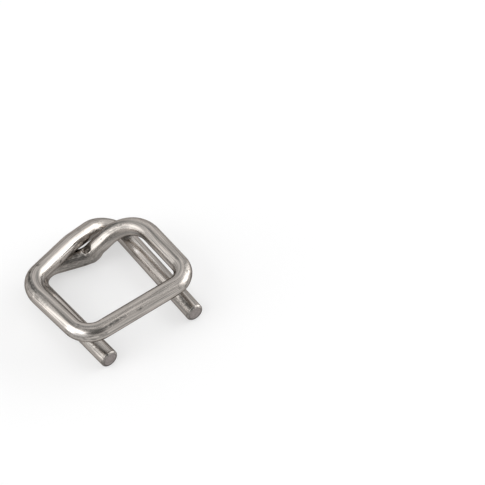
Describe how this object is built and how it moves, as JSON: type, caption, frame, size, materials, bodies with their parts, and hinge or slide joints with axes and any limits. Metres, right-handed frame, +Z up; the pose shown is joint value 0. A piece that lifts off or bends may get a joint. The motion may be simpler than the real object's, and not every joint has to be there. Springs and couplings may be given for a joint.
{
  "type": "strapping buckle",
  "caption": "Wire strapping buckle: round wire bent into a flat frame, with ends that cross at the back and run forward under the legs as prongs for the strap's loops.",
  "frame": {"origin": "middle of the footprint, on the floor that the prongs lie on", "axes": "+Z up from the prongs to the frame, +Y from the front bar to the crossed back, +X to the right when seen from the front bar"},
  "size_m": [0.027, 0.0285, 0.0096],
  "materials": {
    "wire": "bright drawn galvanised wire with fine lengthwise draw lines; the two sheared ends are matte"
  },
  "bodies": {
    "root": {"bent_wire": "wire"}
  },
  "joints": []
}
